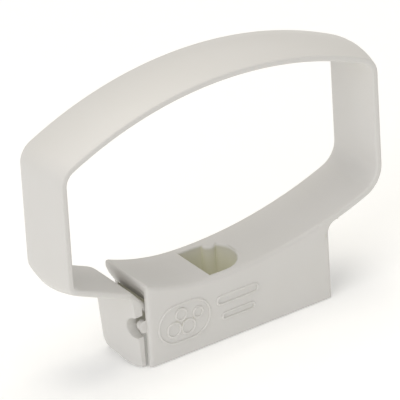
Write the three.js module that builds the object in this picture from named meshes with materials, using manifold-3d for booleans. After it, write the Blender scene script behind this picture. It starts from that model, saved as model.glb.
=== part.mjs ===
// A snap-shut collecting strap for a bundle of cables: a flat base with a concave saddle, and a
// flexible strap that leaves the base at its right end, goes round the bundle and snaps shut under
// a lip at the base's left end. Everything is one polypropylene moulding. It is modelled as the
// stretches between the places where it flexes.
//
// Millimetres. +X runs along the base from the latch to the strap's root, +Y to the back, +Z up.
// The origin is on the mounting plane under the middle of the loop. The solids are built with the
// front face at y = 0, and the whole part is then moved so that its middle is there.

import * as THREE from 'three';
import { mergeVertices } from 'three/addons/utils/BufferGeometryUtils.js';
import Module from 'manifold-3d';

// ---------------------------------------------------------------- driving dimensions
// Strap loop. Radii and half width are those of its inner surface.
const STRAP_WIDTH = 20;
const STRAP_THICK = 1.9;
const LOOP_HALF_WIDTH = 49;
const SIDE_TOP_Z = 64.8;          // where a side would meet the top arch if the corner were sharp
const ARCH_R = 107.5;
const SADDLE_R = 121.4;
const SADDLE_LOW_Z = 19.67;       // the saddle's lowest point above the mounting plane
const UPPER_CORNER_R = 4.2;
const ROOT_CORNER_R = 7;
const LATCH_CORNER_R = 1.6;
const EDGE_ROUND = 0.5;           // rounding of the strap's long edges

// Base block
const BASE_LEFT = 26.8;           // distances from the loop's centre plane
const BASE_RIGHT = 32.5;
const WALL = 1.6;                 // front and back walls
const SADDLE_SKIN = 2.2;
const RIB = 1.6;
const LATCH_BAY = 13;             // length of the bay that the latch's nose enters
const RIGHT_BAYS = 3;             // hollows between the screw pocket and the right end
const FOOT_CORNER_R = 1;
const ROOT_FILLET_R = 2.6;        // hollow fillet under the strap's root
const ROOT_STUB = 4;              // strap length that still belongs to the base

// Lip over the latch, measured from its edge at the base's left end
const LIP_FLARE_R = 60;           // the saddle curves up to the lip at this radius
const LIP_FLARE_LENGTH = 22;
const LIP_EDGE = [0.25, 0.6];     // chamfer of the lip's edge, along and down
const LIP_DEPTH = 7.2;            // how far the lip's hollow left face reaches down
const LIP_HOLLOW = 4;             // how much of that the face goes down before it turns in
const LIP_FOOT_IN = 2.6;
const LIP_FOOT_THICK = 3.6;

// Screw pocket
const POCKET_LEFT = -5;
const POCKET_RIGHT = 7.4;
const POCKET_HALF_WIDTH = 7.5;
const GUIDE_R = 1.9;              // half-round guide up the pocket's round end
const GUIDE_ANGLE = THREE.MathUtils.degToRad(57);
const SEAT_THICK = 3.2;
const SCREW_HOLE_R = 2.6;
const SCREW_HEAD_R = 4.5;
const SEAT_GAP = 0.3;

// Latch tongue and tab, measured from the base's left end
const RAMP_OUT = 5;               // the ramp starts this far out
const RAMP_ANGLE = THREE.MathUtils.degToRad(44.5);
const NOSE_REACH = 5.8;           // how far the nose reaches in under the lip
const NOSE_THICK = 1.8;
const NOSE_SLOPE = 1;             // how far its underside and its tip's top slope
const NOSE_CHAMFER = 0.6;
const NOSE_STEP = 0.4;            // the ramp ends this far short of the lip's foot
const TAB_THICK = 2.6;
const TAB_OUT = 3;                // left face at the chin
const TAB_LEAN = 1.2;             // the face leans out by this much at the top
const TAB_TOP_DROP = 4.5;         // the tab leaves the ramp this far below the lip's edge
const TAB_BOTTOM_Z = 0.8;
const CHIN_R = 2.4;
const SIDE_CLEARANCE = 0.5;       // between the latch and the walls beside it
const LATCH_CLEARANCE = 0.5;      // between the tab and the base's left end
const TAPER_LENGTH = 5;           // over which the strap narrows to the tongue

// Catch peg and the notch that snaps over it
const PEG_R = 1.5;
const PEG_REACH = 2.4;
const PEG_DROP = 12.5;            // its axis is this far below the lip's edge
const PEG_OUT = 0.4;              // its axis is this far out from the base's left end
const NOTCH_CLEARANCE = 1.7;

const SEAM = 0.3;                 // gap between neighbouring stretches
const ARC_STEPS = 10;             // divisions of one drawn arc
const PLAN_STEPS = 20;            // the same in a plan-view outline
const BEVEL_STEPS = 2;
const OVERCUT = 2;                // how far cutting tools run past what they cut
const SAME_POINT = 0.01;          // outline points closer than this are one
const WELD = 1e-4;                // vertices closer than this are one

// ---------------------------------------------------------------- derived places
const MID_Y = STRAP_WIDTH / 2;
const archZ = SIDE_TOP_Z - Math.sqrt(ARCH_R ** 2 - LOOP_HALF_WIDTH ** 2);
const saddleZ = SADDLE_LOW_Z + SADDLE_R;

/** Inner surface of the saddle arc at x. */
const saddleAt = (x) => saddleZ - Math.sqrt(SADDLE_R ** 2 - x ** 2);

// The flare from the saddle up to the lip's edge
const flareX = -BASE_LEFT + LIP_FLARE_LENGTH;
const flareStart = Math.atan2(saddleAt(flareX) - saddleZ, flareX);
const flareCentre = new THREE.Vector2(
  flareX - LIP_FLARE_R * Math.cos(flareStart),
  saddleAt(flareX) - LIP_FLARE_R * Math.sin(flareStart),
);
const lipReach = flareCentre.x + BASE_LEFT - LIP_EDGE[0];
const flareEnd = -Math.PI / 2 - Math.asin(lipReach / LIP_FLARE_R);
const lipZ = flareCentre.y - Math.sqrt(LIP_FLARE_R ** 2 - lipReach ** 2);

// What is placed from the base's left end and from the lip
const lipFootX = -BASE_LEFT + LIP_FOOT_IN;
const lipFootZ = lipZ - LIP_DEPTH;
const rampTopX = -BASE_LEFT - RAMP_OUT;
const noseX = -BASE_LEFT + NOSE_REACH;
const tabLeftX = -BASE_LEFT - TAB_OUT;
const tabTopZ = lipZ - TAB_TOP_DROP;
const pegX = -BASE_LEFT - PEG_OUT;
const pegZ = lipZ - PEG_DROP;

/** A round inner corner between a side at x and an arc centred on the centre plane. */
function cornerArc(side, r, arcCentreZ, arcR, top) {
  const x = side * (LOOP_HALF_WIDTH - r);
  const dz = Math.sqrt((arcR - r) ** 2 - x ** 2);
  const z = arcCentreZ + (top ? dz : -dz);
  const towardsArc = Math.atan2(top ? dz : -dz, x);
  return { x, z, r, towardsArc };
}

const lowerRight = cornerArc(1, ROOT_CORNER_R, saddleZ, SADDLE_R, false);
const upperRight = cornerArc(1, UPPER_CORNER_R, archZ, ARCH_R, true);
const upperLeft = cornerArc(-1, UPPER_CORNER_R, archZ, ARCH_R, true);
const lowerLeft = cornerArc(-1, LATCH_CORNER_R, saddleZ, SADDLE_R, false);
const TURN = 2 * Math.PI;

// The loop's inner surface as arcs, anticlockwise seen from the front, from root to latch.
const stubAngle = Math.asin((BASE_RIGHT + ROOT_STUB) / SADDLE_R) - Math.PI / 2;
const latchEndAngle = TURN - Math.PI / 2 - Math.asin(-rampTopX / SADDLE_R);
const loopArcs = [
  { x: 0, z: saddleZ, r: SADDLE_R, from: stubAngle, to: lowerRight.towardsArc },
  { ...lowerRight, from: lowerRight.towardsArc, to: 0 },
  { ...upperRight, from: 0, to: upperRight.towardsArc },
  { x: 0, z: archZ, r: ARCH_R, from: upperRight.towardsArc, to: upperLeft.towardsArc },
  { ...upperLeft, from: upperLeft.towardsArc, to: Math.PI },
  { ...lowerLeft, from: Math.PI, to: TURN + lowerLeft.towardsArc },
  { x: 0, z: saddleZ, r: SADDLE_R, from: TURN + lowerLeft.towardsArc, to: latchEndAngle },
];

/** The point on arc i at an angle, raised from the inner surface by an offset. */
function onLoop(i, angle, offset) {
  const arc = loopArcs[i];
  const r = arc.r + offset;
  return new THREE.Vector2(arc.x + r * Math.cos(angle), arc.z + r * Math.sin(angle));
}

const middle = (i) => (loopArcs[i].from + loopArcs[i].to) / 2;
const latchArc = loopArcs.length - 1;

// Where the strap flexes: on its outer skin, so that opening parts the seam on the inside.
const flexPlaces = [
  { name: 'root_flex', arc: 0, angle: stubAngle },
  { name: 'root_corner_flex', arc: 1, angle: middle(1) },
  { name: 'upper_right_flex', arc: 2, angle: middle(2) },
  { name: 'arch_flex', arc: 3, angle: Math.PI / 2 },
  { name: 'upper_left_flex', arc: 4, angle: middle(4) },
  { name: 'latch_corner_flex', arc: 5, angle: middle(5) },
];
const latchEnd = { arc: latchArc, angle: latchEndAngle };

// ---------------------------------------------------------------- solids
const wasm = await Module();
wasm.setup();

function toSolid(geometry) {
  const bare = geometry.clone();
  bare.deleteAttribute('normal');
  bare.deleteAttribute('uv');
  const merged = mergeVertices(bare, WELD);
  return new wasm.Manifold(new wasm.Mesh({
    numProp: 3,
    vertProperties: new Float32Array(merged.attributes.position.array),
    triVerts: new Uint32Array(merged.index.array),
  }));
}

function toGeometry(solid) {
  const mesh = solid.getMesh();
  const geometry = new THREE.BufferGeometry();
  geometry.setAttribute('position', new THREE.BufferAttribute(mesh.vertProperties, 3));
  geometry.setIndex(new THREE.BufferAttribute(mesh.triVerts, 1));
  geometry.computeVertexNormals();
  return geometry;
}

/** The same outline without the doubled points where its arcs meet. */
function withoutDoubles(shape, steps) {
  const points = shape.getPoints(steps);
  return new THREE.Shape(points.filter((p, i) => p.distanceTo(points.at(i - 1)) > SAME_POINT));
}

/** Carries a front-view outline from one depth to another. Rounded edges grow it by their radius. */
function prism(shape, y0, y1, round = 0) {
  const geometry = new THREE.ExtrudeGeometry(withoutDoubles(shape, ARC_STEPS), {
    depth: y1 - y0 - 2 * round,
    bevelEnabled: round > 0,
    bevelThickness: round,
    bevelSize: round,
    bevelSegments: BEVEL_STEPS,
  });
  geometry.rotateX(Math.PI / 2);
  geometry.translate(0, y1 - round, 0);
  return toSolid(geometry);
}

/** Carries a plan-view outline from one height to another. */
function column(shape, z0, z1) {
  const geometry = new THREE.ExtrudeGeometry(withoutDoubles(shape, PLAN_STEPS), {
    depth: z1 - z0, bevelEnabled: false,
  });
  geometry.translate(0, 0, z0);
  return toSolid(geometry);
}

function polygon(points) {
  return new THREE.Shape(points.map(([a, b]) => new THREE.Vector2(a, b)));
}

/** One stretch of strap between two places on the loop, with half a seam left at each end. */
function strapStretch(start, end) {
  const trim = SEAM / 2 + EDGE_ROUND;
  const trimAngle = (place) => trim / loopArcs[place.arc].r;
  const a0 = start.angle + trimAngle(start);
  const a1 = end.angle - trimAngle(end);
  const shape = new THREE.Shape();
  const pieces = loopArcs.slice(start.arc, end.arc + 1).map((arc, k) => ({
    ...arc,
    from: k === 0 ? a0 : arc.from,
    to: k === end.arc - start.arc ? a1 : arc.to,
  }));
  for (const p of pieces) shape.absarc(p.x, p.z, p.r + EDGE_ROUND, p.from, p.to, false);
  for (const p of pieces.reverse()) {
    shape.absarc(p.x, p.z, p.r + STRAP_THICK - EDGE_ROUND, p.to, p.from, true);
  }
  return prism(shape, 0, STRAP_WIDTH, EDGE_ROUND);
}

// ---------------------------------------------------------------- base
/** Front view of the base: foot, right end, strap stub, saddle and flared lip. */
function baseOutline() {
  const shape = new THREE.Shape();
  const outerR = SADDLE_R + STRAP_THICK;
  const filletX = BASE_RIGHT + ROOT_FILLET_R;
  const filletZ = saddleZ - Math.sqrt((outerR + ROOT_FILLET_R) ** 2 - filletX ** 2);
  const filletEnd = Math.atan2(saddleZ - filletZ, -filletX);
  const stubEnd = stubAngle - SEAM / 2 / SADDLE_R;

  shape.moveTo(-BASE_LEFT, 0);
  shape.lineTo(BASE_RIGHT - FOOT_CORNER_R, 0);
  shape.absarc(BASE_RIGHT - FOOT_CORNER_R, FOOT_CORNER_R, FOOT_CORNER_R, -Math.PI / 2, 0, false);
  shape.absarc(filletX, filletZ, ROOT_FILLET_R, Math.PI, filletEnd, true);
  shape.absarc(0, saddleZ, outerR, Math.atan2(filletZ - saddleZ, filletX), stubEnd, false);
  shape.absarc(0, saddleZ, SADDLE_R, stubEnd, flareStart, true);
  shape.absarc(flareCentre.x, flareCentre.y, LIP_FLARE_R, flareStart, flareEnd, true);
  shape.lineTo(-BASE_LEFT, lipZ - LIP_EDGE[1]);
  return shape;
}

/** Front view of one hollow under the saddle skin, open downwards. */
function hollowOutline(left, right) {
  const shape = new THREE.Shape();
  const roofR = SADDLE_R + SADDLE_SKIN;
  const at = (x) => Math.asin(x / roofR) - Math.PI / 2;
  shape.moveTo(left, -OVERCUT);
  shape.lineTo(right, -OVERCUT);
  shape.absarc(0, saddleZ, roofR, at(right), at(left), true);
  return shape;
}

/** The space to the left of and below the lip, which lets the tongue in. */
function lipCut() {
  const shape = new THREE.Shape();
  const outside = -BASE_LEFT - OVERCUT;
  shape.moveTo(outside, -OVERCUT);
  shape.lineTo(lipFootX, -OVERCUT);
  shape.lineTo(lipFootX, lipFootZ);
  shape.quadraticCurveTo(-BASE_LEFT, lipFootZ + LIP_HOLLOW, -BASE_LEFT - SEAM, lipZ - LIP_EDGE[1]);
  shape.lineTo(outside, lipZ - LIP_EDGE[1]);
  return shape;
}

/** The screw pocket's space, or a plate that fits in it with a gap all round. */
function pocketColumn(z0, z1, gap = 0) {
  const left = POCKET_LEFT + gap;
  const r = POCKET_HALF_WIDTH - gap;
  const roundX = POCKET_RIGHT - POCKET_HALF_WIDTH;
  const plan = new THREE.Shape();
  plan.moveTo(left, MID_Y - r);
  plan.lineTo(roundX, MID_Y - r);
  plan.absarc(roundX, MID_Y, r, -Math.PI / 2, Math.PI / 2, false);
  plan.lineTo(left, MID_Y + r);
  const guide = new THREE.Shape();
  guide.absarc(
    roundX + POCKET_HALF_WIDTH * Math.cos(GUIDE_ANGLE),
    MID_Y + POCKET_HALF_WIDTH * Math.sin(GUIDE_ANGLE), GUIDE_R + gap, 0, TURN, false,
  );
  return column(plan, z0, z1).subtract(column(guide, z0 - OVERCUT, z1 + OVERCUT));
}

function makeBase() {
  const inside = [WALL, STRAP_WIDTH - WALL];
  const bayEnd = -BASE_LEFT + LATCH_BAY;
  const firstBay = POCKET_RIGHT + RIB;
  const bayPitch = (BASE_RIGHT - firstBay) / RIGHT_BAYS;
  let base = prism(baseOutline(), 0, STRAP_WIDTH);
  base = base.subtract(prism(lipCut(), WALL, STRAP_WIDTH + OVERCUT));
  base = base.subtract(prism(polygon([
    [lipFootX - OVERCUT, -OVERCUT], [bayEnd, -OVERCUT], [bayEnd, lipFootZ],
    [lipFootX - OVERCUT, lipFootZ],
  ]), ...inside));
  const hollows = [
    [lipFootX + LIP_FOOT_THICK, bayEnd],
    [bayEnd + RIB, POCKET_LEFT - RIB],
  ];
  for (let i = 0; i < RIGHT_BAYS; i++) {
    hollows.push([firstBay + i * bayPitch, firstBay + (i + 1) * bayPitch - RIB]);
  }
  for (const [left, right] of hollows) {
    base = base.subtract(prism(hollowOutline(left, right), ...inside));
  }
  return base.subtract(pocketColumn(-OVERCUT, lipZ));
}

/** The pocket's floor: a plate with a countersunk screw hole. */
function makeScrewSeat() {
  const middleX = (POCKET_LEFT + POCKET_RIGHT) / 2;
  const coneZ = SEAT_THICK - (SCREW_HEAD_R - SCREW_HOLE_R);
  const screw = new THREE.LatheGeometry([
    [0, -OVERCUT], [SCREW_HOLE_R, -OVERCUT], [SCREW_HOLE_R, coneZ],
    [SCREW_HEAD_R + OVERCUT, SEAT_THICK + OVERCUT], [0, SEAT_THICK + OVERCUT],
  ].map(([a, b]) => new THREE.Vector2(a, b)), 3 * ARC_STEPS);
  screw.rotateX(Math.PI / 2);
  screw.translate(middleX, MID_Y, 0);
  return pocketColumn(0, SEAT_THICK, SEAT_GAP).subtract(toSolid(screw));
}

/** A round-headed peg on the front wall's inner face. */
function makeCatchPeg() {
  const root = WALL + SEAM;
  const profile = new THREE.Shape();
  profile.moveTo(0, 0);
  profile.lineTo(PEG_R, 0);
  profile.lineTo(PEG_R, PEG_REACH - PEG_R);
  profile.absarc(0, PEG_REACH - PEG_R, PEG_R, 0, Math.PI / 2, false);
  const peg = new THREE.LatheGeometry(profile.getPoints(ARC_STEPS / 2), 2 * ARC_STEPS);
  peg.translate(pegX, root, pegZ);
  return toSolid(peg);
}

// ---------------------------------------------------------------- latch
const tongueFront = WALL + SIDE_CLEARANCE;
const tongueBack = STRAP_WIDTH - WALL - SIDE_CLEARANCE;

/** Strap from the latch corner to the ramp, narrowing to pass between the walls. */
function makeLatchArm() {
  const start = flexPlaces.at(-1);
  const full = rampTopX - TAPER_LENGTH;
  const far = LOOP_HALF_WIDTH + STRAP_THICK + OVERCUT;
  const plan = polygon([
    [-far, -OVERCUT], [full, -OVERCUT], [full, 0], [rampTopX, tongueFront],
    [0, tongueFront], [0, tongueBack], [rampTopX, tongueBack],
    [full, STRAP_WIDTH], [full, STRAP_WIDTH + OVERCUT], [-far, STRAP_WIDTH + OVERCUT],
  ]);
  return strapStretch(start, latchEnd).intersect(column(plan, 0, SIDE_TOP_Z));
}

/** The ramp that dives under the lip, and the tab that hangs over the base's left end. */
function makeLatchTab() {
  const halfSeam = SEAM / 2 / SADDLE_R;
  const top = onLoop(latchArc, latchEndAngle + halfSeam, 0);
  const under = onLoop(latchArc, latchEndAngle + halfSeam, STRAP_THICK);
  const drop = Math.tan(RAMP_ANGLE);
  const rampEndX = lipFootX - NOSE_STEP;
  const rampEnd = new THREE.Vector2(rampEndX, top.y - drop * (rampEndX - top.x));
  const noseZ = rampEnd.y - NOSE_THICK;
  const inner = -BASE_LEFT - LATCH_CLEARANCE;
  const shape = polygon([
    [top.x, top.y], [under.x, under.y],
    [tabLeftX - TAB_LEAN, tabTopZ], [tabLeftX, TAB_BOTTOM_Z + CHIN_R],
  ]);
  shape.quadraticCurveTo(tabLeftX, TAB_BOTTOM_Z, tabLeftX + CHIN_R, TAB_BOTTOM_Z);
  shape.lineTo(inner, TAB_BOTTOM_Z);
  shape.lineTo(inner, noseZ - TAB_THICK);
  shape.lineTo(inner + TAB_THICK, noseZ - NOSE_SLOPE);
  shape.lineTo(noseX - NOSE_CHAMFER, noseZ - NOSE_CHAMFER);
  shape.lineTo(noseX, noseZ);
  shape.lineTo(noseX - NOSE_CHAMFER, rampEnd.y - NOSE_SLOPE);
  shape.lineTo(rampEnd.x, rampEnd.y);
  const tab = prism(shape, tongueFront, tongueBack);
  const notch = new THREE.CylinderGeometry(
    PEG_R + NOTCH_CLEARANCE, PEG_R + NOTCH_CLEARANCE, 3 * TAB_THICK, 3 * ARC_STEPS,
  );
  notch.rotateZ(Math.PI / 2);
  notch.translate(pegX - TAB_THICK, tongueFront, pegZ);
  return tab.subtract(toSolid(notch));
}

// ---------------------------------------------------------------- scene graph
const naturalPP = { color: 0xd6d4cf, roughness: 0.5, metalness: 0 };
const part = new THREE.Group();
const baseGroup = new THREE.Group();
const strapGroup = new THREE.Group();
part.add(baseGroup, strapGroup);
part.position.y = -MID_Y;

function addPiece(group, name, solid) {
  const mesh = new THREE.Mesh(toGeometry(solid), new THREE.MeshStandardMaterial(naturalPP));
  mesh.name = name;
  group.add(mesh);
}

addPiece(baseGroup, 'base_saddle', makeBase());
addPiece(baseGroup, 'screw_seat', makeScrewSeat());
addPiece(baseGroup, 'catch_peg', makeCatchPeg());

const stretchNames = [
  'strap_root_arc', 'strap_right_side', 'strap_arch_right', 'strap_arch_left', 'strap_left_side',
];
stretchNames.forEach((name, i) => {
  addPiece(strapGroup, name, strapStretch(flexPlaces[i], flexPlaces[i + 1]));
});
addPiece(strapGroup, 'strap_latch_arm', makeLatchArm());
addPiece(strapGroup, 'latch_tab', makeLatchTab());

// Each flex axis runs along +Y through this point of the outer skin. The record's joints repeat it.
part.userData.flexAxes = flexPlaces.map(({ name, arc, angle }) => {
  const p = onLoop(arc, angle, STRAP_THICK);
  return { name, x: p.x, z: p.y };
});

export default part;
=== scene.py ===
import logging
import math
from dataclasses import dataclass, field
from enum import Enum

import bmesh
import bpy
import numpy as np
from mathutils import Matrix, Vector


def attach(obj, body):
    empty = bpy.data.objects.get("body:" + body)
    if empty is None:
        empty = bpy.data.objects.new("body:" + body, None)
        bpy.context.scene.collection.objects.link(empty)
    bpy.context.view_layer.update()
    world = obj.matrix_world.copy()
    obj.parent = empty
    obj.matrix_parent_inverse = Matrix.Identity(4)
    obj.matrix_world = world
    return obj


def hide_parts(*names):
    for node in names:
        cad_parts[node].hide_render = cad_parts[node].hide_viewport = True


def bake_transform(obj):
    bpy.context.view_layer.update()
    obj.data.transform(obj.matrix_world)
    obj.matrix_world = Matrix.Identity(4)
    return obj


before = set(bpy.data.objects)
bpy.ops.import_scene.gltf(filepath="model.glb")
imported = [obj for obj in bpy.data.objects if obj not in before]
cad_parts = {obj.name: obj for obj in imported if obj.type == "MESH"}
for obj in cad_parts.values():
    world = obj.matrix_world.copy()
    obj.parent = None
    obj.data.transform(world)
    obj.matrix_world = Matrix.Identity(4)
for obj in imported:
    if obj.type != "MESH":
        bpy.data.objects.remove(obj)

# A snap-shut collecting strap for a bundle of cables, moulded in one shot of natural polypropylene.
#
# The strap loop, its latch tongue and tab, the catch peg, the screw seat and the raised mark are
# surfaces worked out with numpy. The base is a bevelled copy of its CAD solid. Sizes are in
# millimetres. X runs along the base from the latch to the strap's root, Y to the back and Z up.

log = logging.getLogger("collecting_strap")

MM = 0.001
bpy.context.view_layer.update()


# ---------------------------------------------------------------- colours and finishes
def linear(hex_colour: str) -> tuple[float, float, float, float]:
    """Turns an sRGB hex colour into linear light.

    Args:
        hex_colour: six hex digits after a hash sign.

    Returns:
        Red, green, blue and alpha, each from 0 to 1.
    """
    srgb = np.array([int(hex_colour[i:i + 2], 16) for i in (1, 3, 5)]) / 255
    low = srgb / 12.92
    high = ((srgb + 0.055) / 1.055) ** 2.4
    return (*np.where(srgb <= 0.04045, low, high).tolist(), 1.0)


def add_node(tree: bpy.types.NodeTree, kind: str, settings: dict, links: dict) -> bpy.types.Node:
    """Adds a shader node with its settings and its incoming links.

    Args:
        tree: the material's node tree.
        kind: Blender's name for the kind of node.
        settings: property names, or input names and numbers, with their values.
        links: input names or numbers, with the output sockets that feed them.

    Returns:
        The new node.
    """
    node = tree.nodes.new(kind)
    for key, value in settings.items():
        if isinstance(key, str) and hasattr(node, key):
            setattr(node, key, value)
        else:
            node.inputs[key].default_value = value
    for key, socket in links.items():
        tree.links.new(socket, node.inputs[key])
    return node


@dataclass(frozen=True)
class NaturalPolypropylene:
    """Undyed polypropylene, injection moulded in a satin steel mould.

    It reads as a soft milky white. Light that passes through its walls turns shaded hollows warm and
    slightly green; here that light is painted on, as a warm green colour and a faint glow where the
    surface is hemmed in. Its highlights are broad because the mould's satin surface is copied.
    """

    name: str = "polypropylene_natural_satin"
    body_hex: str = "#DCDAD7"
    flow_hex: str = "#D9D7D2"
    # Painted light: the warm green colour laid on hollows in place of light through the walls.
    painted_hollow_light_hex: str = "#CFCDB8"
    roughness: float = 0.42
    ior: float = 1.49
    roughness_spread: tuple[float, float] = (-0.05, 0.07)
    flow_mm: float = 18.0
    flow_swirl: float = 0.8
    grain_mm: float = 0.55
    grain_depth_mm: float = 0.05
    grain_strength: float = 0.042
    sink_mm: float = 9.0
    sink_depth_mm: float = 0.12
    sink_strength: float = 0.25
    # Where the painted hollow light goes: how far the occlusion looks, the openness at which the paint
    # is full and at which it is gone, the strength of its painted glow, and the occlusion's samples.
    painted_hollow_reach_mm: float = 16.0
    painted_hollow_open: tuple[float, float] = (0.25, 0.8)
    painted_hollow_glow: float = 0.14
    painted_hollow_samples: int = 8

    def material(self) -> bpy.types.Material:
        """Builds the node material.

        Returns:
            The material, made once and found again by its name.
        """
        found = bpy.data.materials.get(self.name)
        if found:
            return found
        material = bpy.data.materials.new(self.name)
        material.use_nodes = True
        tree = material.node_tree
        tree.nodes.clear()
        place = add_node(tree, "ShaderNodeTexCoord", {}, {})
        where = place.outputs["Object"]
        # Slow swirls where the melt flowed: a slight change of tone over a couple of centimetres.
        flow = add_node(tree, "ShaderNodeTexNoise",
                        {"Scale": 1 / (self.flow_mm * MM), "Detail": 3.0,
                         "Distortion": self.flow_swirl},
                        {"Vector": where})
        tone = add_node(tree, "ShaderNodeMix",
                        {"data_type": "RGBA", 6: linear(self.body_hex), 7: linear(self.flow_hex)},
                        {0: flow.outputs["Fac"]})
        # Painted light: where nearby walls hem the surface in, a warm green colour and a faint glow are
        # laid on, standing in for light that has passed through the wall.
        depth = add_node(tree, "ShaderNodeAmbientOcclusion",
                         {"samples": self.painted_hollow_samples, "only_local": True,
                          "Distance": self.painted_hollow_reach_mm * MM}, {})
        shut, wide = self.painted_hollow_open
        reach = add_node(tree, "ShaderNodeMapRange",
                         {"From Min": shut, "From Max": wide, "To Min": 1.0, "To Max": 0.0},
                         {"Value": depth.outputs["AO"]})
        colour = add_node(tree, "ShaderNodeMix", {"data_type": "RGBA", 7: linear(self.painted_hollow_light_hex)},
                          {0: reach.outputs["Result"], 6: tone.outputs[2]})
        # A painted glow: the hollows give off some of the warm green, so that they look lit through the
        # wall.
        glow = add_node(tree, "ShaderNodeMath", {"operation": "MULTIPLY", 1: self.painted_hollow_glow},
                        {0: reach.outputs["Result"]})
        # The mould's grain, whose real size is some hundredths of a millimetre, is drawn coarser so
        # that it shows. The faint unevenness is where the wall sank as it cooled.
        grain = add_node(tree, "ShaderNodeTexNoise",
                         {"Scale": 1 / (self.grain_mm * MM), "Detail": 2.0}, {"Vector": where})
        sink = add_node(tree, "ShaderNodeTexNoise",
                        {"Scale": 1 / (self.sink_mm * MM), "Detail": 1.0}, {"Vector": where})
        smooth, rough = (self.roughness + change for change in self.roughness_spread)
        gloss = add_node(tree, "ShaderNodeMapRange", {"To Min": smooth, "To Max": rough},
                         {"Value": grain.outputs["Fac"]})
        grain_bump = add_node(tree, "ShaderNodeBump",
                              {"Strength": self.grain_strength, "Distance": self.grain_depth_mm * MM},
                              {"Height": grain.outputs["Fac"]})
        sink_bump = add_node(tree, "ShaderNodeBump",
                             {"Strength": self.sink_strength, "Distance": self.sink_depth_mm * MM},
                             {"Height": sink.outputs["Fac"], "Normal": grain_bump.outputs["Normal"]})
        # The emission is the painted glow of the hollows.
        shader = add_node(tree, "ShaderNodeBsdfPrincipled",
                          {"IOR": self.ior, "Emission Color": linear(self.painted_hollow_light_hex)},
                          {"Emission Strength": glow.outputs[0], "Base Color": colour.outputs[2],
                           "Roughness": gloss.outputs["Result"],
                           "Normal": sink_bump.outputs["Normal"]})
        add_node(tree, "ShaderNodeOutputMaterial", {}, {"Surface": shader.outputs["BSDF"]})
        return material


@dataclass(frozen=True)
class StudioPaper:
    """Seamless white background paper, matt, lit evenly so that it goes nearly to white."""

    name: str = "studio_paper_white"
    sheet_hex: str = "#F7F7F6"
    fibre_hex: str = "#F3F3F2"
    fibre_mm: float = 3.0
    roughness: float = 0.9
    glow: float = 0.2

    def material(self) -> bpy.types.Material:
        """Builds the node material.

        Returns:
            The new material.
        """
        material = bpy.data.materials.new(self.name)
        material.use_nodes = True
        tree = material.node_tree
        tree.nodes.clear()
        place = add_node(tree, "ShaderNodeTexCoord", {}, {})
        fibre = add_node(tree, "ShaderNodeTexNoise", {"Scale": 1 / (self.fibre_mm * MM)},
                         {"Vector": place.outputs["Object"]})
        tone = add_node(tree, "ShaderNodeMix",
                        {"data_type": "RGBA", 6: linear(self.sheet_hex), 7: linear(self.fibre_hex)},
                        {0: fibre.outputs["Fac"]})
        shader = add_node(tree, "ShaderNodeBsdfPrincipled",
                          {"Roughness": self.roughness, "Emission Color": linear(self.sheet_hex),
                           "Emission Strength": self.glow},
                          {"Base Color": tone.outputs[2]})
        add_node(tree, "ShaderNodeOutputMaterial", {}, {"Surface": shader.outputs["BSDF"]})
        return material


# ---------------------------------------------------------------- meshes
class Ends(Enum):
    """How the two ends of a carried profile are closed."""

    CAPPED = "capped"
    JOINED = "joined"


def carried_mesh(name: str, points: np.ndarray, ends: Ends = Ends.CAPPED) -> bpy.types.Object:
    """Puts a grid of points into a closed mesh.

    The grid's rows are the stations along a path and its columns go round the profile, whose last
    column joins the first. Each quad takes its corners from two rows and two columns. Capped ends get
    one flat face each, and joined ends close the rows into a ring.

    Args:
        name: the new object's name.
        points: an array of rows, columns and three coordinates in millimetres.
        ends: how the first and last rows are closed.

    Returns:
        The new object, with smooth shading and its faces outward.
    """
    rows, columns, _ = points.shape
    number = np.arange(rows * columns).reshape(rows, columns)
    following = np.roll(number, -1, axis=1)
    ahead, across = np.roll(number, -1, axis=0), np.roll(following, -1, axis=0)
    quads = np.stack([number, following, across, ahead], axis=-1)
    if ends is Ends.CAPPED:
        quads = quads[:-1]
    faces = quads.reshape(-1, 4).tolist()
    if ends is Ends.CAPPED:
        faces += [number[0, ::-1].tolist(), number[-1].tolist()]
    mesh = bpy.data.meshes.new(name)
    mesh.from_pydata((points.reshape(-1, 3) * MM).tolist(), [], faces)
    return finished_object(name, mesh)


def finished_object(name: str, mesh: bpy.types.Mesh, sharp_degrees: float = 35.0) -> bpy.types.Object:
    """Turns a mesh's faces outward, shades it smooth with sharp edges kept, and links its object.

    Args:
        name: the new object's name.
        mesh: a closed mesh.
        sharp_degrees: edges that turn more than this stay sharp.

    Returns:
        The linked object.
    """
    shape = bmesh.new()
    shape.from_mesh(mesh)
    bmesh.ops.recalc_face_normals(shape, faces=shape.faces)
    shape.to_mesh(mesh)
    shape.free()
    mesh.shade_smooth()
    mesh.set_sharp_from_angle(angle=math.radians(sharp_degrees))
    piece = bpy.data.objects.new(name, mesh)
    bpy.context.scene.collection.objects.link(piece)
    return piece


def dress(piece: bpy.types.Object, finish: NaturalPolypropylene) -> bpy.types.Object:
    """Gives a piece its finish.

    Args:
        piece: the piece.
        finish: the plastic.

    Returns:
        The same piece.
    """
    piece.data.materials.clear()
    piece.data.materials.append(finish.material())
    return piece


def report(piece: bpy.types.Object, what: str) -> None:
    """Logs a finished piece."""
    log.info("%s: %s, %d vertices", piece.name, what, len(piece.data.vertices))


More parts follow.
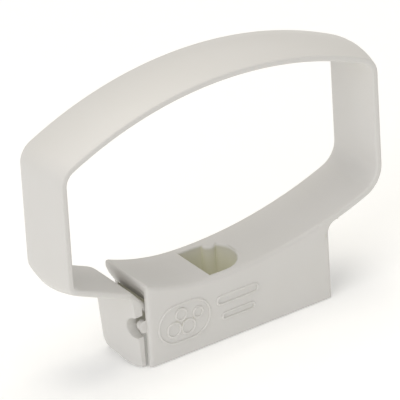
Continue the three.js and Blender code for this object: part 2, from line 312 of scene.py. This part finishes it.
# ---------------------------------------------------------------- the strap's line
@dataclass
class LoopLine:
    """The line that the strap's inner face follows in front view, from its root to the latch's nose.

    Anticlockwise seen from the front: saddle arc, corner, right side, corner, arch, corner, left side,
    corner, latch arm, bend and ramp. Every stretch is an arc or a straight, and meets the next one
    without a kink.
    """

    half_width: float = 49.0
    side_top: float = 64.8
    arch_r: float = 107.5
    saddle_r: float = 121.4
    saddle_low: float = 19.67
    upper_corner_r: float = 4.2
    root_corner_r: float = 7.0
    latch_corner_r: float = 1.6
    root_x: float = 29.0
    arm_slope: float = 0.44
    ramp_x: float = -31.2
    ramp_z: float = 24.25
    ramp_degrees: float = 48.5
    ramp_bend_r: float = 3.0
    nose_x: float = -22.0
    search_steps: int = 400
    stretches: list = field(default_factory=list)

    def __post_init__(self) -> None:
        """Works the stretches out from the sizes."""
        saddle_z = self.saddle_low + self.saddle_r
        arch_z = self.side_top - math.sqrt(self.arch_r ** 2 - self.half_width ** 2)
        lower_right = self._corner(1, self.root_corner_r, saddle_z, self.saddle_r, -1)
        upper_right = self._corner(1, self.upper_corner_r, arch_z, self.arch_r, 1)
        upper_left = self._corner(-1, self.upper_corner_r, arch_z, self.arch_r, 1)
        root = math.asin(self.root_x / self.saddle_r) - math.pi / 2
        # The latch arm is a straight whose corner touches it and the left side.
        arm_normal = 1.5 * math.pi - math.atan(self.arm_slope)
        r = self.latch_corner_r
        arm_x = r - self.half_width + r * math.cos(arm_normal)
        arm_z = self.ramp_z + self.arm_slope * (self.ramp_x - arm_x)
        turned = arm_normal - 1.5 * math.pi + math.radians(self.ramp_degrees)
        tangent = self.ramp_bend_r * math.tan(turned / 2)
        self._arc(0, saddle_z, self.saddle_r, root, lower_right[3])
        self._arc(*lower_right[:3], lower_right[3], 0)
        self._straight_to(upper_right[0] + upper_right[2], upper_right[1])
        self._arc(*upper_right[:3], 0, upper_right[3])
        self._arc(0, arch_z, self.arch_r, upper_right[3], upper_left[3])
        self._arc(*upper_left[:3], upper_left[3], math.pi)
        self._straight_to(-self.half_width, arm_z - r * math.sin(arm_normal))
        self._arc(r - self.half_width, arm_z - r * math.sin(arm_normal), r, math.pi, arm_normal)
        self._straight(math.hypot(self.ramp_x - arm_x, self.ramp_z - arm_z) - tangent)
        self._bend(self.ramp_bend_r, -turned)
        end = self.stretches[-1]["end"]
        self._straight((self.nose_x - end[0]) / math.cos(math.radians(self.ramp_degrees)))
        self.starts = np.cumsum([0.0] + [s["length"] for s in self.stretches])
        self.length = float(self.starts[-1])

    def _corner(self, side: int, r: float, arc_z: float, arc_r: float, up: int) -> tuple:
        """Finds the round corner between a side and an arc centred on the middle plane.

        The corner's centre is its radius in from the side, and the arc's radius less the corner's
        away from the arc's centre.

        Args:
            side: 1 for the right side and -1 for the left.
            r: the corner's radius.
            arc_z: the height of the arc's centre.
            arc_r: the arc's radius.
            up: 1 for an arc above its centre and -1 for one below.

        Returns:
            The centre's x and z, the radius, and the angle where the corner meets the arc.
        """
        x = side * (self.half_width - r)
        dz = up * math.sqrt((arc_r - r) ** 2 - x ** 2)
        return x, arc_z + dz, r, math.atan2(dz, x)

    def _arc(self, x: float, z: float, r: float, start: float, end: float) -> None:
        """Adds an arc whose centre is inside the loop.

        Args:
            x: the centre's place along X.
            z: the centre's height.
            r: the radius.
            start: the angle where it starts, in radians.
            end: the angle where it ends.
        """
        tip = (x + r * math.cos(end), z + r * math.sin(end))
        self.stretches.append({"centre": (x, z), "r": r, "a0": start, "sign": 1.0,
                               "length": r * (end - start), "end": tip, "normal": end})

    def _straight(self, length: float) -> None:
        """Adds a straight in the direction that the line has reached.

        Args:
            length: its length.
        """
        last = self.stretches[-1]
        x, z = last["end"]
        along = last["normal"] + math.pi / 2
        tip = (x + length * math.cos(along), z + length * math.sin(along))
        self.stretches.append({"from": (x, z), "along": along, "length": length,
                               "end": tip, "normal": last["normal"]})

    def _straight_to(self, x: float, z: float) -> None:
        """Adds a straight that ends at a point ahead on the line."""
        end = self.stretches[-1]["end"]
        self._straight(math.hypot(x - end[0], z - end[1]))

    def _bend(self, r: float, turned: float) -> None:
        """Adds an arc whose centre is on the outer side, so that the line turns back.

        Args:
            r: the radius.
            turned: the turn in radians, less than 0.
        """
        last = self.stretches[-1]
        x, z = last["end"]
        normal = last["normal"]
        centre = (x + r * math.cos(normal), z + r * math.sin(normal))
        end = normal + turned
        tip = (centre[0] - r * math.cos(end), centre[1] - r * math.sin(end))
        self.stretches.append({"centre": centre, "r": -r, "a0": normal, "sign": -1.0,
                               "length": abs(r * turned), "end": tip, "normal": end})

    def at(self, s: np.ndarray) -> tuple[np.ndarray, np.ndarray]:
        """Finds points of the line and the outward direction there.

        On an arc, the direction is the start angle plus or minus the arc length over the radius, and
        the point is the centre plus the radius in that direction. On a straight, the point is the
        start plus the length along it.

        Args:
            s: lengths along the line, in millimetres.

        Returns:
            The points and the unit normals, each an array of x and z.
        """
        points = np.zeros((len(s), 2))
        normals = np.zeros((len(s), 2))
        for i, part in enumerate(self.stretches):
            last = i == len(self.stretches) - 1
            inside = (s >= self.starts[i]) & ((s < self.starts[i + 1]) | last)
            t = s[inside] - self.starts[i]
            if "centre" in part:
                angle = part["a0"] + part["sign"] * t / abs(part["r"])
                normal = np.stack([np.cos(angle), np.sin(angle)], axis=-1)
                points[inside] = np.array(part["centre"]) + part["r"] * normal
            else:
                normal = np.tile([math.cos(part["normal"]), math.sin(part["normal"])], (len(t), 1))
                way = np.array([math.cos(part["along"]), math.sin(part["along"])])
                points[inside] = np.array(part["from"]) + t[:, None] * way
            normals[inside] = normal
        return points, normals

    def length_at(self, stretch: int, x: float | None = None, z: float | None = None) -> float:
        """Finds how far along the line a stretch passes a given x or z, by interpolation.

        Args:
            stretch: the stretch's number, from 0 at the root.
            x: the place along X, or None.
            z: the height, used when x is None.

        Returns:
            The length along the line.
        """
        s = np.linspace(self.starts[stretch], self.starts[stretch + 1], self.search_steps)
        points, _ = self.at(s)
        column, wanted = (points[:, 1], z) if x is None else (points[:, 0], x)
        order = np.argsort(column)
        return float(np.interp(wanted, column[order], s[order]))


def ease(value: np.ndarray, start: float, end: float) -> np.ndarray:
    """Goes smoothly from 0 at start to 1 at end, as three t squared less two t cubed.

    Args:
        value: the places to work it out at.
        start: where it leaves 0.
        end: where it reaches 1.

    Returns:
        Numbers from 0 to 1.
    """
    t = np.clip((value - start) / (end - start), 0, 1)
    return t * t * (3 - 2 * t)


# ---------------------------------------------------------------- the strap
@dataclass
class Strap:
    """The flexible strap: a flat inner face, a crowned outer face and rounded edges."""

    line: LoopLine
    width: float = 20.0
    thick: float = 1.9
    crown: float = 1.5
    edge_r: float = 0.65
    tongue_width: float = 15.8
    tongue_thick: float = 1.8
    stub_x: float = 35.6
    tuck: float = 0.03
    tuck_ends: tuple[float, float] = (-0.2, 0.4)
    narrow_ends: tuple[float, float] = (-1.5, 2.4)
    root_crown_ends: tuple[float, float] = (36.6, 48.0)
    latch_crown_ends: tuple[float, float] = (-37.5, -29.5)
    root_seam_x: float = 43.6
    side_seam_z: float = 47.5
    arch_seam_x: float = 31.0
    step: float = 0.8
    face_columns: int = 28
    edge_columns: int = 6

    def section(self, s: np.ndarray) -> tuple[np.ndarray, np.ndarray]:
        """Works out the profile at each station.

        Going round: the flat inner face, a quarter circle at the back edge, the outer face, which is
        the wall's thickness plus the crown times one less the square of the relative width, and a
        quarter circle at the front edge. The strap narrows to the tongue by a smooth step, the crown
        fades towards the root and the tongue, and where the strap starts inside the base it is
        smaller by the tuck.

        Args:
            s: lengths along the line.

        Returns:
            Places across the width and outward from the inner face, as rows and columns.
        """
        line = self.line
        points, _ = line.at(s)
        x, z = points[:, 0], points[:, 1]
        low = z < 0.5 * line.side_top
        root = low & (x > 0)
        latch = low & (x < 0)
        tuck_start, tuck_end = (self.stub_x + way for way in self.tuck_ends)
        narrow_start, narrow_end = (line.ramp_x + way for way in self.narrow_ends)
        tucked = np.where(root, 1 - ease(x, tuck_start, tuck_end), 0) * self.tuck
        narrow = np.where(latch, ease(x, narrow_start, narrow_end), 0)
        crown = np.where(root, self.crown * ease(x, *self.root_crown_ends), self.crown)
        crown = np.where(latch, self.crown * (1 - ease(x, *self.latch_crown_ends)), crown)
        half = self.width / 2 - narrow * (self.width - self.tongue_width) / 2 - tucked
        thick = self.thick + narrow * (self.tongue_thick - self.thick) - tucked
        r = self.edge_r
        half, thick, crown, tucked = (v[:, None] for v in (half, thick, crown, tucked))
        quarter = np.linspace(0, math.pi / 2, self.edge_columns)[None, :]
        across = np.linspace(-1, 1, self.face_columns)[None, 1:-1]
        inner_y, inner_n = (half - r) * across, tucked + 0 * across
        back_y = np.concatenate([half - r + r * np.sin(quarter), half - r + r * np.cos(quarter)], 1)
        back_n = np.concatenate([tucked + r - r * np.cos(quarter),
                                 thick - r + r * np.sin(quarter)], 1) + 0 * half
        outer_y = -(half - r) * across
        outer_n = thick + crown * (1 - across ** 2)
        front_y, front_n = -back_y[:, ::-1], back_n[:, ::-1]
        ys = np.concatenate([inner_y, back_y, outer_y, front_y], 1)
        ns = np.concatenate([inner_n, back_n, outer_n, front_n], 1)
        return ys, ns

    def stretch(self, name: str, start: float, end: float) -> bpy.types.Object:
        """Carries the profile along the line from one length to another.

        The stations are evenly spaced, with one at each end. Each profile point lies at its station,
        moved outward along the normal and across in y.

        Args:
            name: the piece's name.
            start: the length along the line where it starts.
            end: the length where it ends.

        Returns:
            The new piece.
        """
        s = np.linspace(start, end, max(4, int((end - start) / self.step)))
        points, normals = self.line.at(s)
        across, out = self.section(s)
        x = points[:, :1] + out * normals[:, :1]
        z = points[:, 1:] + out * normals[:, 1:]
        return carried_mesh(name, np.stack([x, across, z], axis=-1))

    def build(self, finish: NaturalPolypropylene) -> list[bpy.types.Object]:
        """Makes the six stretches of the strap, from its root to the latch.

        Neighbours meet in the middle of a body.

        Args:
            finish: the plastic.

        Returns:
            The six pieces from root to latch.
        """
        line = self.line
        ends = [0.0, line.length_at(0, x=self.root_seam_x), line.length_at(2, z=self.side_seam_z),
                line.length_at(4, x=self.arch_seam_x), line.length_at(4, x=-self.arch_seam_x),
                line.length_at(6, z=self.side_seam_z), line.length]
        right, left = line.half_width, -line.half_width
        plan = [
            ("strap_root", "base", "root_arc", "strap_root_arc", (34.8, 24.0), (42.6, 26.6)),
            ("strap_lower_right", "root_arc", "right_side", "strap_right_side",
             (44.4, 27.5), (right, 38.0)),
            ("strap_upper_right", "right_side", "arch_right", "strap_arch_right",
             (right, 57.0), (40.0, 69.5)),
            ("strap_top", "arch_right", "arch_left", "strap_arch_left", (30.5, 72.5), (-30.5, 72.5)),
            ("strap_upper_left", "arch_left", "left_side", "strap_left_side",
             (-40.0, 69.5), (left, 57.0)),
            ("strap_latch", "left_side", "latch", "strap_latch_arm", (left, 38.0), (-43.0, 27.0)),
        ]
        pieces = []
        for i, (name, before, after, node, start, end) in enumerate(plan):
            piece = dress(self.stretch(name, ends[i], ends[i + 1]), finish)
            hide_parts(node)
            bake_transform(piece)
            report(piece, f"strap bending between {before} and {after}")
            pieces.append(piece)
        return pieces


# ---------------------------------------------------------------- the latch
@dataclass
class LatchTab:
    """The tab that hangs from the tongue over the base's left end, with a notch for the peg."""

    line: LoopLine
    front: float = -8.1
    back: float = 8.3
    face_x: float = -30.7
    lean: float = 1.7
    lean_top: float = 20.0
    inner_x: float = -27.3
    bottom: float = 0.2
    chin_r: float = 1.6
    crown: float = 1.6
    skew: float = -0.6
    corner_lift: float = 2.8
    corner_r: float = 0.45
    notch_r: float = 3.2
    notch_z: float = 12.28
    sunk: float = 1.3
    top: float = 24.0
    low_rows: int = 16
    notch_rows: int = 25
    high_rows: int = 14
    side_columns: int = 22
    corner_columns: int = 5

    def heights(self) -> np.ndarray:
        """Spaces the rows: even ones, with rows along the notch spaced as the cosine of an angle.

        Returns:
            The heights from the lowest to the highest.
        """
        angle = np.linspace(0, math.pi, self.notch_rows)
        below = np.linspace(0, self.notch_z - self.notch_r, self.low_rows)[:-1]
        notch = self.notch_z - self.notch_r * np.cos(angle)
        above = np.linspace(self.notch_z + self.notch_r, self.top, self.high_rows)[1:]
        return np.concatenate([below, notch, above])

    def build(self, finish: NaturalPolypropylene) -> bpy.types.Object:
        """Makes the tab as a stack of rounded rectangles, seen from above.

        The left side leans out with height. It is a parabola across the width: the skew times the
        relative place from the middle, plus the crown times its square. The front side moves back by
        the notch's half chord, the square root of its radius squared less the height above its middle
        squared. The lowest rows are lifted by a quarter circle under the left face and by the cube of
        the relative place at the back corner. The highest ones follow the middle of the tongue.

        Args:
            finish: the plastic.

        Returns:
            The new piece.
        """
        z = self.heights()[:, None]
        chord = np.sqrt(np.clip(self.notch_r ** 2 - (z - self.notch_z) ** 2, 0, None))
        front, back = self.front + chord, self.back + 0 * z
        left = self.face_x - self.lean * (z - self.bottom) / (self.lean_top - self.bottom)
        r = self.corner_r
        quarter = np.linspace(0, math.pi / 2, self.corner_columns)[None, :]
        side = np.linspace(0, 1, self.side_columns)[None, 1:-1]

        def run(a: np.ndarray, b: np.ndarray) -> np.ndarray:
            """Gives even places between two edges."""
            return a + (b - a) * side

        inner = self.inner_x + 0 * z
        xs = np.concatenate([
            run(left + r, inner - r), inner - r + r * np.sin(quarter),
            run(inner, inner), inner - r + r * np.cos(quarter),
            run(inner - r, left + r), left + r - r * np.sin(quarter),
            run(left, left), left + r - r * np.cos(quarter)], 1)
        ys = np.concatenate([
            run(front, front), front + r - r * np.cos(quarter),
            run(front + r, back - r), back - r + r * np.sin(quarter),
            run(back, back), back - r + r * np.cos(quarter),
            run(back - r, front + r), front + r - r * np.sin(quarter)], 1)
        relative = ys / self.back
        share = np.clip((inner - xs) / (inner - left), 0, 1)
        xs = xs + (self.skew * relative + self.crown * relative ** 2) * share
        # Lower and upper limits of height over each plan point.
        chin_x = np.clip(self.face_x + self.chin_r - xs, 0, self.chin_r)
        floor = self.bottom + self.chin_r - np.sqrt(self.chin_r ** 2 - chin_x ** 2)
        floor = floor + self.corner_lift * np.clip(relative, 0, 1) ** 3 * share
        points, _ = self.line.at(np.array([self.line.length]))
        drop = math.tan(math.radians(self.line.ramp_degrees))
        roof = points[0, 1] + drop * (points[0, 0] - xs) - self.sunk
        zs = np.clip(z + 0 * xs, floor, roof)
        piece = dress(carried_mesh("latch_tab_shell", np.stack([xs, ys, zs], axis=-1)), finish)
        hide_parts("latch_tab")
        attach(piece, "latch")
        report(piece, "tab with its notch")
        return piece


# ---------------------------------------------------------------- the base
@dataclass
class Base:
    """The foot block with its saddle, lip, pocket, screw seat and peg."""

    width: float = 20.0
    stub_x: float = 35.6
    edge_r: float = 0.3
    edge_steps: int = 2
    outer_edge_r: float = 1.1
    outer_edge_steps: int = 4
    back_share: float = 0.5
    foot_share: float = 0.27
    stub_share: float = 0.6
    rim_share: float = 0.6
    foot_right: float = 32.5
    foot_corner: float = 1.1
    lip_x: float = -26.8
    lip_z: float = 24.85
    lip_corner: tuple[float, float] = (0.35, 0.8)
    rim_z: float = 19.0
    near: float = 0.1
    weld: float = 0.002
    flat_degrees: float = 0.6
    corner_degrees: float = 30.0
    bevel_degrees: float = 32.0
    pocket_left: float = -5.0
    pocket_right: float = 7.4
    pocket_half: float = 7.5
    sunk: float = 0.25
    seat_thick: float = 3.2
    seat_low: float = 0.15
    hole_r: float = 2.6
    head_r: float = 4.5
    soft: float = 0.1
    seat_columns: int = 96
    peg_x: float = -27.2
    peg_z: float = 12.24
    peg_r: float = 1.5
    peg_reach: float = 2.7
    peg_tip_r: float = 0.02
    peg_fillet: tuple[float, float] = (0.35, 0.55)
    peg_root: float = 0.3
    peg_fillet_rows: int = 5
    peg_tip_rows: int = 14
    peg_columns: int = 40
    wall: float = 1.6

    def rounding_share(self, edge: bmesh.types.BMEdge) -> float:
        """Chooses how much of the outer rounding an edge gets.

        The outline of the front face gets all of it. The back's outline, the pocket's rim and the
        strap's stub get about half, and the foot gets a quarter. Every other edge gets none.

        Args:
            edge: an edge of the block.

        Returns:
            A share from 0 to 1.
        """
        xs, ys, zs = zip(*(v.co / MM for v in edge.verts))
        if len(edge.link_faces) != 2 or edge.calc_face_angle() < math.radians(self.corner_degrees):
            return 0.0
        if min(abs(y) for y in ys) <= self.width / 2 - self.weld / 2:
            rim = max(abs(y) for y in ys) < self.pocket_half + self.near and min(zs) > self.rim_z
            left, right = self.pocket_left - self.near, self.pocket_right + self.near
            return self.rim_share if rim and left < min(xs) and max(xs) < right else 0.0
        if min(xs) > self.stub_x - self.near:
            return 0.0
        if max(zs) < self.edge_r:
            return self.foot_share
        if max(xs) > self.foot_right + self.near:
            return self.stub_share
        return self.back_share if min(ys) > 0 else 1.0

    def block(self, finish: NaturalPolypropylene) -> bpy.types.Object:
        """Copies the CAD base, merges its triangles, cuts its strap stub short and bevels its edges.

        The small facets at the right foot corner and at the lip's edge are drawn together into one
        edge first, so that the bevels can round them.

        Args:
            finish: the plastic.

        Returns:
            The new piece.
        """
        shape = bmesh.new()
        shape.from_mesh(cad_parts["base_saddle"].data)
        for vertex in shape.verts:
            x, z = vertex.co.x / MM, vertex.co.z / MM
            if x > self.foot_right - self.foot_corner and z < self.foot_corner:
                vertex.co.x, vertex.co.z = self.foot_right * MM, 0
            elif x < self.lip_x + self.lip_corner[0] and z > self.lip_z - self.lip_corner[1]:
                vertex.co.x, vertex.co.z = self.lip_x * MM, self.lip_z * MM
        bmesh.ops.remove_doubles(shape, verts=shape.verts, dist=self.weld * MM)
        cut = bmesh.ops.bisect_plane(
            shape, geom=shape.verts[:] + shape.edges[:] + shape.faces[:], dist=self.weld / 2 * MM,
            plane_co=(self.stub_x * MM, 0, 0), plane_no=(1, 0, 0), clear_outer=True)
        rim = [e for e in cut["geom_cut"] if isinstance(e, bmesh.types.BMEdge)]
        bmesh.ops.contextual_create(shape, geom=rim)
        bmesh.ops.dissolve_limit(shape, angle_limit=math.radians(self.flat_degrees),
                                 verts=shape.verts, edges=shape.edges)
        weight = shape.edges.layers.float.new("bevel_weight_edge")
        for edge in shape.edges:
            edge[weight] = self.rounding_share(edge)
        mesh = bpy.data.meshes.new("base_block")
        shape.to_mesh(mesh)
        shape.free()
        piece = finished_object("base_block", mesh)
        outline = piece.modifiers.new("outline_rounding", "BEVEL")
        outline.width = self.outer_edge_r * MM
        outline.segments = self.outer_edge_steps
        outline.limit_method = "WEIGHT"
        outline.use_clamp_overlap = False
        rounding = piece.modifiers.new("moulded_edges", "BEVEL")
        rounding.width = self.edge_r * MM
        rounding.segments = self.edge_steps
        rounding.limit_method = "ANGLE"
        rounding.angle_limit = math.radians(self.bevel_degrees)
        rounding.harden_normals = True
        dress(piece, finish)
        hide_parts("base_saddle")
        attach(piece, "base")
        report(piece, "foot block with walls, ribs, saddle and lip")
        return piece

    def seat(self, finish: NaturalPolypropylene) -> bpy.types.Object:
        """Makes the pocket's floor as a ring between its outline and the countersunk hole.

        The outline is the nearer of three straight sides, and a half circle round the fourth. Columns
        go round. Each row lies a share of the way from the outline to the hole's circle, at its own
        height: up the outside, in along the top, down the cone and the hole, and out along the
        bottom, where the last row joins the first.

        Args:
            finish: the plastic.

        Returns:
            The new piece.
        """
        angle = np.linspace(0, 2 * math.pi, self.seat_columns + 1)[None, :-1]
        middle = (self.pocket_left + self.pocket_right) / 2
        half_y = self.pocket_half + self.sunk
        across, along = np.abs(np.sin(angle)), np.cos(angle)
        straight = 1 / np.maximum(-along / (middle - self.pocket_left + self.sunk), across / half_y)
        centre = self.pocket_right - self.pocket_half - middle
        curved = centre * along + np.sqrt(half_y ** 2 - (centre * across) ** 2)
        reach = np.where(curved * along > centre, curved, straight)
        cone = self.seat_thick - (self.head_r - self.hole_r)
        top, low, soft = self.seat_thick, self.seat_low, self.soft
        hole, rim = self.hole_r + 0 * angle, self.head_r + 0 * angle
        rows = [(reach, low), (reach, top), (reach * 0.6 + rim * 0.4, top),
                (rim + 1.5 * soft, top), (rim, top - 0.6 * soft), (hole + soft, cone + soft),
                (hole, cone - soft), (hole, low + 2 * soft), (hole + 2 * soft, low),
                (reach * 0.5 + hole * 0.5, low)]
        radius = np.concatenate([row[0] for row in rows], 0)
        height = np.array([row[1] for row in rows])[:, None] + 0 * radius
        points = np.stack([middle + radius * np.cos(angle), radius * np.sin(angle), height], axis=-1)
        piece = dress(carried_mesh("screw_seat_plate", points, Ends.JOINED), finish)
        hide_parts("screw_seat")
        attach(piece, "base")
        report(piece, "pocket floor with its countersunk hole")
        return piece

    def peg(self, finish: NaturalPolypropylene) -> bpy.types.Object:
        """Makes the catch peg: a profile turned about an axis along y.

        The profile is a small fillet, as one less the sine and the cosine of an angle, and then a
        quarter circle over the peg's head.

        Args:
            finish: the plastic.

        Returns:
            The new piece.
        """
        u = np.linspace(0, math.pi / 2, self.peg_fillet_rows)
        t = np.linspace(0, math.pi / 2, self.peg_tip_rows)
        foot = -self.width / 2 + self.wall
        fillet_r, fillet_y = self.peg_fillet
        root_r = self.peg_r + fillet_r * (1 - np.sin(u))
        root_y = foot - self.peg_root + fillet_y * (1 - np.cos(u))
        tip_r = self.peg_r * np.cos(t)
        tip_y = foot + self.peg_reach - self.peg_r + self.peg_r * np.sin(t)
        radius = np.maximum(np.concatenate([root_r, tip_r]), self.peg_tip_r)[:, None]
        along = np.concatenate([root_y, tip_y])[:, None]
        angle = np.linspace(0, 2 * math.pi, self.peg_columns + 1)[None, :-1]
        points = np.stack([self.peg_x + radius * np.cos(angle), along + 0 * angle,
                           self.peg_z + radius * np.sin(angle)], axis=-1)
        piece = dress(carried_mesh("catch_peg_nub", points), finish)
        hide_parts("catch_peg")
        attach(piece, "base")
        report(piece, "catch peg")
        return piece


@dataclass
class RaisedMark:
    """A generic raised mark on the front wall: a loop round four cable ends, and two plain bars.

    Each ring is its middle's x and z, its radius, and half the run of its straights.
    """

    front: float = -10.0
    height: float = 0.4
    stroke: float = 0.34
    straightness: float = 6.0
    ring_rows: int = 96
    stroke_columns: int = 16
    loop: tuple[float, ...] = (-15.6, 10.2, 5.6, 2.6)
    cable_ends: tuple[tuple[float, ...], ...] = (
        (-19.0, 8.8, 2.1, 0.0), (-14.4, 8.4, 2.1, 0.0), (-16.5, 12.7, 1.7, 0.0), (-11.1, 11.5, 1.5, 0.0))
    bars: tuple[tuple[float, ...], ...] = ((1.8, 12.2, 1.2, 5.4), (1.8, 7.2, 0.9, 4.3))

    def ring(self, x: float, z: float, r: float, half_run: float) -> tuple[np.ndarray, np.ndarray]:
        """Draws a circle, or one pulled apart along x into two half circles and two straights.

        The pull is the half run times the hyperbolic tangent of a steep cosine, which is 1 on the
        right half, -1 on the left half and passes quickly from one to the other.

        Args:
            x: the middle along X.
            z: the middle's height.
            r: the radius.
            half_run: half the length of a straight, 0 for a circle.

        Returns:
            The ring's places along X and its heights.
        """
        t = np.linspace(0, 2 * math.pi, self.ring_rows + 1)[:-1]
        return (x + r * np.cos(t) + half_run * np.tanh(self.straightness * np.cos(t)),
                z + r * np.sin(t))

    def raised(self, xs: np.ndarray, zs: np.ndarray) -> np.ndarray:
        """Carries an oval stroke along a closed line on the front wall, half of it sunk in the wall.

        The line's own direction comes from the difference of neighbouring points, and each stroke
        point is moved across it by the cosine and forward by the sine of the profile's angle.

        Args:
            xs: the line's places along X.
            zs: the line's heights.

        Returns:
            The stroke's points, as rows, columns and three coordinates.
        """
        dx = np.roll(xs, -1) - np.roll(xs, 1)
        dz = np.roll(zs, -1) - np.roll(zs, 1)
        size = np.hypot(dx, dz)
        across = np.stack([-dz / size, dx / size], axis=-1)
        angle = np.linspace(0, 2 * math.pi, self.stroke_columns + 1)[None, :-1]
        side = self.stroke * np.cos(angle)
        y = self.front - self.height * np.sin(angle) + 0 * xs[:, None]
        return np.stack([xs[:, None] + across[:, :1] * side, y,
                         zs[:, None] + across[:, 1:] * side], axis=-1)

    def build(self, finish: NaturalPolypropylene) -> bpy.types.Object:
        """Makes every stroke as a ring and joins them into one piece.

        Args:
            finish: the plastic.

        Returns:
            The new piece.
        """
        shape = bmesh.new()
        for i, sizes in enumerate([self.loop, *self.cable_ends, *self.bars]):
            stroke = carried_mesh(f"mark_{i}", self.raised(*self.ring(*sizes)), Ends.JOINED)
            shape.from_mesh(stroke.data)
            bpy.data.objects.remove(stroke)
        mesh = bpy.data.meshes.new("raised_mark")
        shape.to_mesh(mesh)
        shape.free()
        piece = dress(finished_object("raised_mark", mesh), finish)
        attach(piece, "base")
        report(piece, "raised mark on the front wall")
        return piece


# ---------------------------------------------------------------- studio
@dataclass(frozen=True)
class Softbox:
    """A square lamp behind a diffuser. Its place and size are in metres, and it points at the strap."""

    name: str
    place: tuple[float, float, float]
    size: float
    watts: float
    tint: str

    def hang(self, aim_m: float) -> None:
        """Adds the lamp to the scene.

        Args:
            aim_m: the height that it points at, in metres.
        """
        data = bpy.data.lights.new(self.name, "AREA")
        data.size = self.size
        data.energy = self.watts
        data.color = linear(self.tint)[:3]
        lamp = bpy.data.objects.new(self.name, data)
        lamp.location = self.place
        aim = Vector((0, 0, aim_m)) - Vector(self.place)
        lamp.rotation_euler = aim.to_track_quat("-Z", "Y").to_euler()
        bpy.context.scene.collection.objects.link(lamp)


@dataclass
class Studio:
    """Camera, lights and floor, in metres. The target and the sizes that end in mm are millimetres."""

    azimuth: float = 33.09
    elevation: float = 28.54
    roll: float = -3.51
    distance: float = 1.6
    lens_mm: float = 541.4
    sensor_mm: float = 36.0
    sight_end: float = 20.0
    target: tuple[float, float, float] = (-1.84, 0.0, 37.96)
    aim_m: float = 0.04
    paper_half: float = 3.0
    paper_lines: int = 13
    paper_drop: float = 0.0002
    air_hex: str = "#FFFFFF"
    air_strength: float = 0.42
    softboxes: tuple[Softbox, ...] = (
        Softbox("left_softbox", (-1.35, -0.6, 0.95), 1.1, 8.4, "#FCFCFF"),
        Softbox("top_softbox", (0.1, 0.1, 1.8), 1.4, 16.5, "#FFFAF0"))

    def camera(self) -> None:
        """Places a long-lens camera on the left, in front and above, with a slight roll.

        The way back from the target comes from the azimuth and the elevation. The right and up ways
        are then turned about it by the roll.
        """
        az, el, roll = (math.radians(v) for v in (self.azimuth, self.elevation, self.roll))
        back = Vector((-math.sin(az) * math.cos(el), -math.cos(az) * math.cos(el), math.sin(el)))
        right = (-back).cross(Vector((0, 0, 1))).normalized()
        up = right.cross(-back)
        turned_right = math.cos(roll) * right + math.sin(roll) * up
        turned_up = -math.sin(roll) * right + math.cos(roll) * up
        data = bpy.data.cameras.new("studio_camera")
        data.sensor_width = self.sensor_mm
        data.lens = self.lens_mm
        data.clip_end = self.sight_end
        camera = bpy.data.objects.new("studio_camera", data)
        place = Vector(self.target) * MM + back * self.distance
        camera.matrix_world = Matrix((
            (turned_right.x, turned_up.x, back.x, place.x),
            (turned_right.y, turned_up.y, back.y, place.y),
            (turned_right.z, turned_up.z, back.z, place.z),
            (0, 0, 0, 1)))
        bpy.context.scene.collection.objects.link(camera)
        bpy.context.scene.camera = camera

    def floor(self) -> None:
        """Lays the paper: a flat grid just under the object's foot."""
        side = np.linspace(-self.paper_half, self.paper_half, self.paper_lines)
        x, y = np.meshgrid(side, side, indexing="ij")
        number = np.arange(x.size).reshape(x.shape)
        quads = np.stack([number[:-1, :-1], number[1:, :-1], number[1:, 1:], number[:-1, 1:]], -1)
        mesh = bpy.data.meshes.new("paper_floor")
        points = np.stack([x, y, 0 * x - self.paper_drop], -1).reshape(-1, 3)
        mesh.from_pydata(points.tolist(), [], quads.reshape(-1, 4).tolist())
        floor = bpy.data.objects.new("paper_floor", mesh)
        floor.data.materials.append(StudioPaper().material())
        bpy.context.scene.collection.objects.link(floor)

    def build(self) -> None:
        """Sets up the whole studio: even light all round, with more from the left."""
        self.camera()
        self.floor()
        for softbox in self.softboxes:
            softbox.hang(self.aim_m)
        world = bpy.data.worlds.new("studio_air")
        world.use_nodes = True
        air = world.node_tree.nodes["Background"]
        air.inputs["Color"].default_value = linear(self.air_hex)
        air.inputs["Strength"].default_value = self.air_strength
        bpy.context.scene.world = world
        bpy.context.scene.view_settings.view_transform = "Standard"


def main() -> None:
    """Builds the clamp's pieces in order, then the studio."""
    logging.basicConfig(level=logging.INFO, format="%(message)s")
    line = LoopLine()
    plastic = NaturalPolypropylene()
    base = Base()
    base.block(plastic)
    base.seat(plastic)
    base.peg(plastic)
    RaisedMark().build(plastic)
    Strap(line).build(plastic)
    LatchTab(line).build(plastic)
    Studio().build()


if __name__ == "__main__":
    main()
